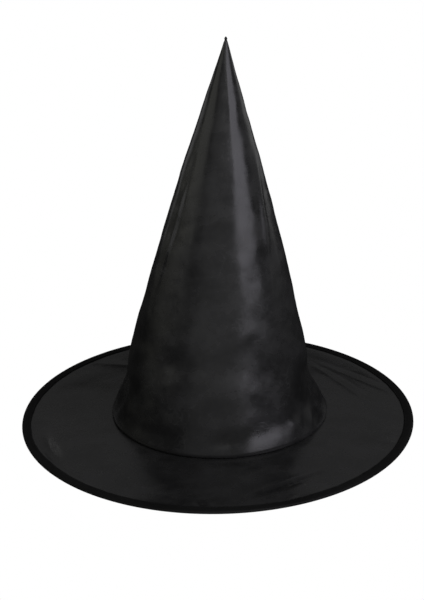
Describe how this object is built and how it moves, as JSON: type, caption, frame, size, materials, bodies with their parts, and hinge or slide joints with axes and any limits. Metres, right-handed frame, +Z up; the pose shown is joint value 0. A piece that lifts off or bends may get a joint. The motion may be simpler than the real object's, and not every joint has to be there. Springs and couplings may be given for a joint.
{
  "type": "witch hat",
  "caption": "Pointed black nylon costume witch hat with a stiffened cone crown, a flat wired and bound brim, a sweatband and a blank hanging care label inside.",
  "frame": {"origin": "centre of the round brim, on the surface that the hat stands on", "axes": "+Z up towards the point, front is -Y, the crown's back seam and the label are at +Y, +X is the wearer's left"},
  "size_m": [0.372, 0.372, 0.376],
  "materials": {
    "black_nylon": "smooth coated plain weave with a soft sheen",
    "stiff_lining": "matte non-woven",
    "black_thread": "matte twisted thread",
    "binding_tape": "matte ribbed tape",
    "sweatband_tape": "matte ribbed tape",
    "label_satin": "white satin ribbon, blank",
    "spring_wire": "drawn",
    "crimp_sleeve": "satin"
  },
  "bodies": {
    "hat": {"crown_shell": "black_nylon", "crown_lining": "stiff_lining", "back_seam_allowance": "stiff_lining", "back_seam_stitching": "black_thread", "tip_tack": "black_thread", "brim_top": "black_nylon", "brim_interlining": "stiff_lining", "brim_underside": "black_nylon", "brim_wire": "spring_wire", "wire_sleeve": "crimp_sleeve", "brim_binding": "binding_tape", "binding_stitching": "black_thread", "base_seam_stitching": "black_thread", "sweatband": "sweatband_tape", "sweatband_stitching": "black_thread", "label_stitching": "black_thread"},
    "label": {"care_label": "label_satin"}
  },
  "joints": [
    {"name": "label_hinge", "type": "hinge", "parent": "hat", "child": "label", "pos_m": [0.00259, 0.07698, 0.0815], "axis": [-1, 0, 0], "range_deg": [-8, 150]}
  ]
}
